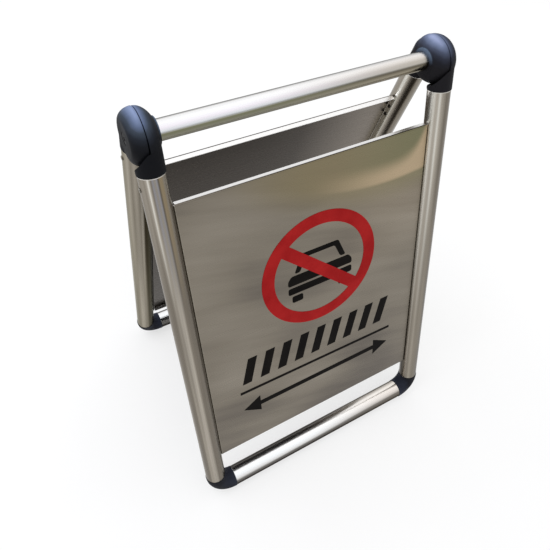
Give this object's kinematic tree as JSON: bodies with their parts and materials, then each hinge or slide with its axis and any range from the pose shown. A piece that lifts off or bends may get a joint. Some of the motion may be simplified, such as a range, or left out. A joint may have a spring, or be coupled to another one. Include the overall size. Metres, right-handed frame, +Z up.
{
  "type": "folding floor sign",
  "caption": "Folding A-frame floor sign in steel tube: sheet panels on two tube frames that hinge on black moulded knuckles, with a round carrying rail along the hinge.",
  "frame": {"origin": "on the floor, midway between the frames and between the legs, with the sign open", "axes": "+Z up; X along the hinge and the carrying rail; the front frame stands towards -Y, the rear frame towards +Y"},
  "size_m": [0.3878, 0.3372, 0.5787],
  "materials": {
    "tube_steel": "satin stainless tube with streaks along it",
    "polished_steel": "polished stainless tube",
    "panel_steel": "satin stainless sheet",
    "black_plastic": "satin black moulding",
    "black_screw": "blackened screw",
    "zinc_steel": "bright zinc",
    "rivet_metal": "dull rivet",
    "red_film": "red vinyl film",
    "black_film": "black vinyl film"
  },
  "bodies": {
    "front_frame": {"front_left_leg": "tube_steel", "front_right_leg": "tube_steel", "front_bottom_rail": "tube_steel", "front_left_elbow": "black_plastic", "front_right_elbow": "black_plastic", "front_panel": "panel_steel", "front_panel_rivets": "rivet_metal", "front_leg_screws": "black_screw", "left_inner_knuckle": "black_plastic", "right_outer_knuckle": "black_plastic", "left_hinge_screw": "black_screw", "left_hinge_nut": "zinc_steel", "left_hinge_washer": "zinc_steel", "top_rail": "polished_steel"},
    "rear_frame": {"rear_left_leg": "tube_steel", "rear_right_leg": "tube_steel", "rear_bottom_rail": "tube_steel", "rear_left_elbow": "black_plastic", "rear_right_elbow": "black_plastic", "left_outer_knuckle": "black_plastic", "right_inner_knuckle": "black_plastic", "rear_panel": "panel_steel", "rear_panel_rivets": "rivet_metal", "rear_leg_screws": "black_screw", "right_hinge_screw": "black_screw", "right_hinge_nut": "zinc_steel", "right_hinge_washer": "zinc_steel"}
  },
  "joints": [
    {"name": "fold", "type": "hinge", "parent": "front_frame", "child": "rear_frame", "pos_m": [0, 0, 0.55112], "axis": [-1, 0, 0], "range_deg": [0, 29]}
  ]
}
